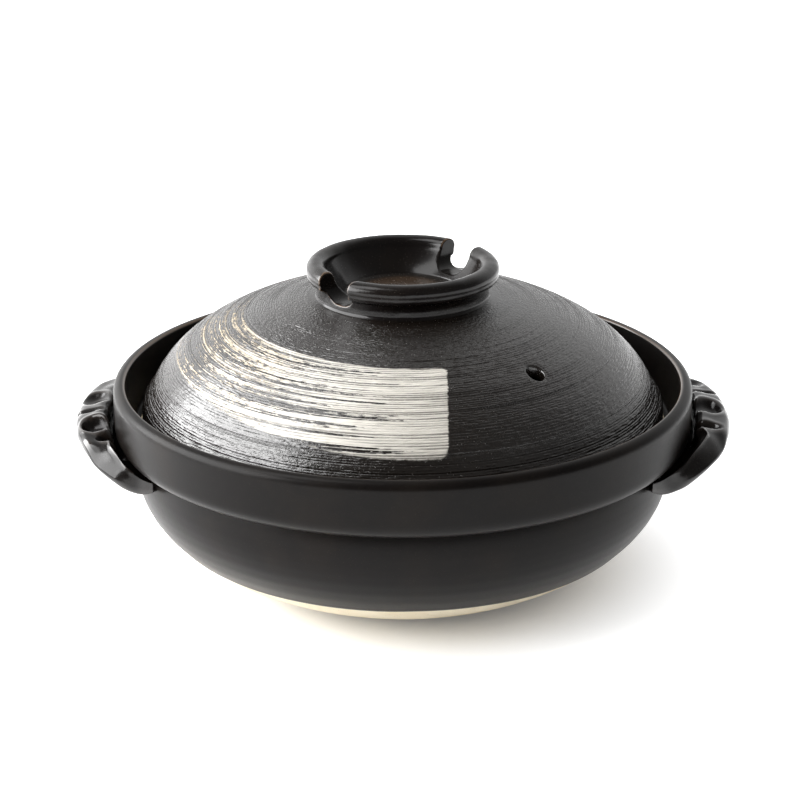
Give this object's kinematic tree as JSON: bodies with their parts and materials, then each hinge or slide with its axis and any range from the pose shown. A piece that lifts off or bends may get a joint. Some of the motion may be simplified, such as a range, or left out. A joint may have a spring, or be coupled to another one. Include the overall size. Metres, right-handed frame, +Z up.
{
  "type": "clay pot",
  "caption": "Round black-glazed clay casserole for the stove: a collared bowl with pressed ear handles, and a loose domed lid with a steam hole and a notched ring knob.",
  "frame": {"origin": "middle of the foot, on the surface that the pot stands on", "axes": "+Z up along the pot's axis, +X through the right ear handle, -Y towards the front with the steam hole to the right"},
  "size_m": [0.32, 0.282, 0.155],
  "materials": {
    "pot_glaze": "satin black-brown iron glaze, with bare buff clay round the foot",
    "lid_glaze": "combed black-brown iron glaze with one brushed stroke of cream slip"
  },
  "bodies": {
    "pot": {"bowl": "pot_glaze", "left_handle": "pot_glaze", "right_handle": "pot_glaze"},
    "lid": {"lid_dome": "lid_glaze", "lid_knob": "lid_glaze"}
  },
  "joints": [
    {"name": "lid_lift", "type": "slide", "parent": "pot", "child": "lid", "axis": [0, 0, 1], "range_m": [0, 0.15]}
  ]
}
